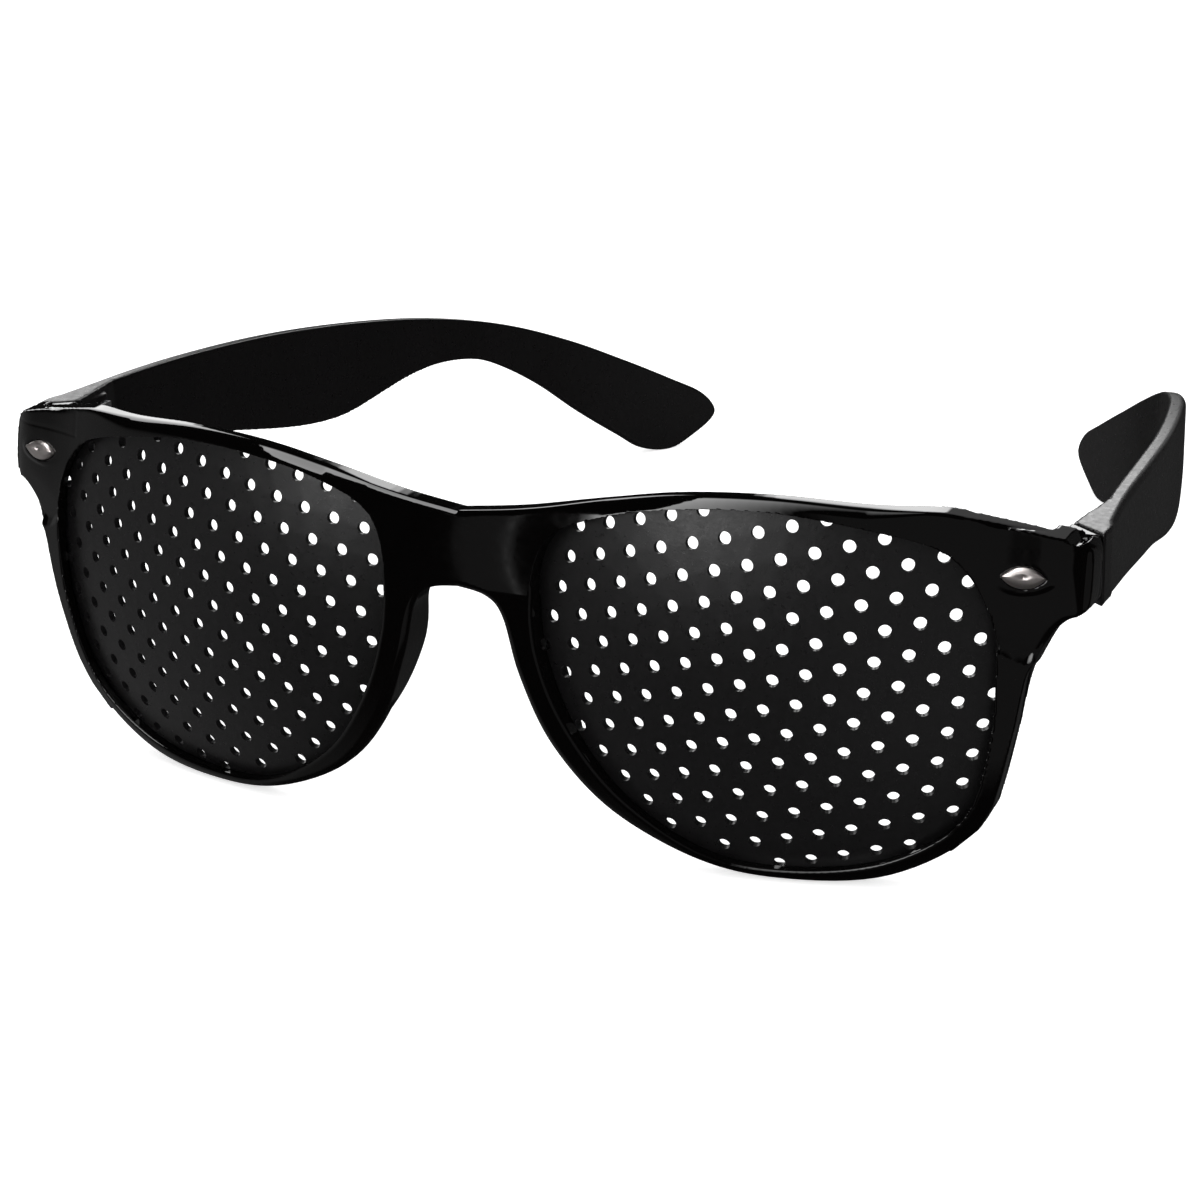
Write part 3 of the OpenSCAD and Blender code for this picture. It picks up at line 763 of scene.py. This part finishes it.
for name, side in SIDES.items():
    head = name + "_rivet_head"
    add_piece(head, build_rivet(head, side), "front", "rivet", SILVER, name + "_rivet")

# CAD nodes that keep their shape
for node, shape in frame["nodes"].items():
    if "hinge_screw" in node or "leaf_screws" in node:
        shape.data.materials.clear()
        shape.data.materials.append(BRIGHT)
    elif "hinge" in node:
        shape.data.materials.clear()
        shape.data.materials.append(STEEL)

# Camera, in upright millimetres and degrees
CAMERA_PLACE = Vector((160.856, -293.665, 125.648))
CAMERA_AZIMUTH = 25.8398
CAMERA_ELEVATION = 19.9515
CAMERA_ROLL = -1.3028
CAMERA_LENS = 92.357

camera_data = bpy.data.cameras.new("camera")
camera_data.sensor_width = 36
camera_data.lens = CAMERA_LENS
camera = bpy.data.objects.new("camera", camera_data)
bpy.context.scene.collection.objects.link(camera)
camera_turn = (
    Matrix.Rotation(math.radians(CAMERA_AZIMUTH), 4, "Z")
    @ Matrix.Rotation(math.radians(90 - CAMERA_ELEVATION), 4, "X")
    @ Matrix.Rotation(math.radians(CAMERA_ROLL), 4, "Z")
)
camera_place = TO_REST @ CAMERA_PLACE
camera.matrix_world = Matrix.Translation(camera_place) @ turned @ camera_turn
bpy.context.scene.camera = camera

# Floor, world and lamps
floor_mesh = bpy.data.meshes.new("floor")
floor_mesh.from_pydata([(-2, -2, 0), (2, -2, 0), (2, 2, 0), (-2, 2, 0)], [], [(0, 1, 2, 3)])
floor = bpy.data.objects.new("floor", floor_mesh)
bpy.context.scene.collection.objects.link(floor)


def mix_for_rays(tree, ray_kinds, otherwise, special):
    """Shows one shader to the named kinds of rays, and another to the rest."""
    nodes, links = tree.nodes, tree.links
    rays = nodes.new("ShaderNodeLightPath")
    seen = rays.outputs[ray_kinds[0]]
    for kind in ray_kinds[1:]:
        either = nodes.new("ShaderNodeMath")
        either.operation = "MAXIMUM"
        links.new(seen, either.inputs[0])
        links.new(rays.outputs[kind], either.inputs[1])
        seen = either.outputs[0]
    mix = nodes.new("ShaderNodeMixShader")
    links.new(seen, mix.inputs["Fac"])
    links.new(otherwise, mix.inputs[1])
    links.new(special, mix.inputs[2])
    return mix.outputs[0]


def glow(tree, strength):
    shader = tree.nodes.new("ShaderNodeEmission")
    shader.inputs["Color"].default_value = (1, 1, 1, 1)
    if isinstance(strength, float):
        shader.inputs["Strength"].default_value = strength
    else:
        tree.links.new(strength, shader.inputs["Strength"])
    return shader.outputs[0]


def calculate(tree, operation, *values):
    node = tree.nodes.new("ShaderNodeMath")
    node.operation = operation
    for socket, value in zip(node.inputs, values):
        if isinstance(value, (int, float)):
            socket.default_value = value
        else:
            tree.links.new(value, socket)
    return node.outputs[0]


FLOOR_GLOW = 0.65

# Pale floor. Reflections look through it, so the black plastic stays black down to its lower edge.
floor_material = bpy.data.materials.new("floor")
floor_material.use_nodes = True
floor_tree = floor_material.node_tree
floor_shader = floor_tree.nodes["Principled BSDF"]
floor_shader.inputs["Base Color"].default_value = (0.9, 0.9, 0.9, 1)
floor_shader.inputs["Roughness"].default_value = 0.9
floor_sum = floor_tree.nodes.new("ShaderNodeAddShader")
floor_tree.links.new(floor_shader.outputs[0], floor_sum.inputs[0])
floor_tree.links.new(glow(floor_tree, FLOOR_GLOW), floor_sum.inputs[1])
floor_tree.links.new(
    mix_for_rays(
        floor_tree, ["Is Glossy Ray"], floor_sum.outputs[0],
        floor_tree.nodes.new("ShaderNodeBsdfTransparent").outputs[0],
    ),
    floor_tree.nodes["Material Output"].inputs["Surface"],
)
floor.data.materials.append(floor_material)

# Studio: a white backdrop, even light, and lit panels in a dark room that only gloss shows.
# Each panel has its span of turn from the front towards -X, its span of height, both in degrees,
# the softness of its end at the low turn and of its other edges, and its strength.
PANELS = [
    ((26.05, 27.05), (-9, 6), (0.05, 0.05), 0.13),
    ((25.98, 26.08), (-9, 6), (0.04, 0.04), 0.5),
    ((37, 39.5), (9.5, 12.5), (0.4, 0.4), 4.0),
    ((118, 146), (8, 34), (1.2, 1.2), 3.0),
    ((158.5, 167.5), (8, 40), (1.5, 1), 3.5),
    ((163, 180), (0, 50), (3, 3), 0.3),
    ((-180, -150), (-40, 15), (8, 8), 0.04),
    ((52, 110), (-45, 0), (20, 20), 0.16),
    ((-75, -12), (-35, 40), (8, 8), 0.12),
]
# The panel above the front ends at a plane across, so its end runs square over the brow. Its
# spans across and along are parts of a reflection's direction, and its height is in degrees. Each
# has its ends, then their softness.
TOP_PANEL_ACROSS = (-0.414, -0.395, 0.003, 0.45)
TOP_PANEL_ALONG = (-1, 0.15, 0.1, 0.15)
TOP_PANEL_HEIGHT = (4, 90, 1, 1)
TOP_PANEL_STRENGTH = 6.5
ROOM = 0.01
BACKDROP = 0.75

world = bpy.data.worlds.new("studio")
world.use_nodes = True
world.cycles.sampling_method = "NONE"
bpy.context.scene.world = world
tree = world.node_tree
tree.nodes["Background"].inputs["Color"].default_value = (1, 1, 1, 1)
tree.nodes["Background"].inputs["Strength"].default_value = BACKDROP
split = tree.nodes.new("ShaderNodeSeparateXYZ")
tree.links.new(tree.nodes.new("ShaderNodeTexCoord").outputs["Generated"], split.inputs[0])
backwards_x = calculate(tree, "MULTIPLY", split.outputs[0], -1)
backwards_y = calculate(tree, "MULTIPLY", split.outputs[1], -1)
turn = calculate(tree, "DEGREES", calculate(tree, "ARCTAN2", backwards_x, backwards_y))
height = calculate(tree, "DEGREES", calculate(tree, "ARCSINE", split.outputs[2]))


def span(value, low, high, soft_low, soft_high):
    """1 between low and high, falling to 0 over the softness of the edges."""
    window = 1
    for edge, outside in ((low, low - soft_low), (high, high + soft_high)):
        ramp = tree.nodes.new("ShaderNodeMapRange")
        ramp.inputs["From Min"].default_value = outside
        ramp.inputs["From Max"].default_value = edge
        tree.links.new(value, ramp.inputs["Value"])
        window = calculate(tree, "MULTIPLY", ramp.outputs["Result"], window)
    return window


brightness = ROOM
for turn_span, height_span, (soft_end, soft), strength in PANELS:
    across = span(turn, *turn_span, soft_end, soft)
    lit = calculate(tree, "MULTIPLY", across, span(height, *height_span, soft, soft))
    brightness = calculate(tree, "ADD", calculate(tree, "MULTIPLY", lit, strength), brightness)
lit = span(split.outputs[0], *TOP_PANEL_ACROSS)
lit = calculate(tree, "MULTIPLY", lit, span(split.outputs[1], *TOP_PANEL_ALONG))
lit = calculate(tree, "MULTIPLY", lit, span(height, *TOP_PANEL_HEIGHT))
brightness = calculate(
    tree, "ADD", calculate(tree, "MULTIPLY", lit, TOP_PANEL_STRENGTH), brightness
)
studio = mix_for_rays(
    tree, ["Is Glossy Ray"], tree.nodes["Background"].outputs[0], glow(tree, brightness)
)
tree.links.new(
    mix_for_rays(tree, ["Is Camera Ray", "Is Transmission Ray"], studio, glow(tree, 1.0)),
    tree.nodes["World Output"].inputs["Surface"],
)


def softbox(name, place, target, width, height, power):
    """A rectangular lamp aimed at a point, in metres and watts. Gloss shows the panels instead."""
    data = bpy.data.lights.new(name, "AREA")
    data.shape = "RECTANGLE"
    data.size = width
    data.size_y = height
    data.energy = power
    lamp = bpy.data.objects.new(name, data)
    bpy.context.scene.collection.objects.link(lamp)
    aim = Vector(target) - Vector(place)
    lamp.rotation_mode = "QUATERNION"
    lamp.rotation_quaternion = aim.to_track_quat("-Z", "Y")
    lamp.location = place
    lamp.visible_glossy = False


softbox("overhead", (0.0, 0.1, 0.9), (0, 0, 0.02), 0.9, 0.7, 2.5)
softbox("left_front", (0.75, -0.55, 0.55), (0, 0, 0.02), 0.4, 0.5, 1.0)

bpy.context.scene.view_settings.view_transform = "Standard"
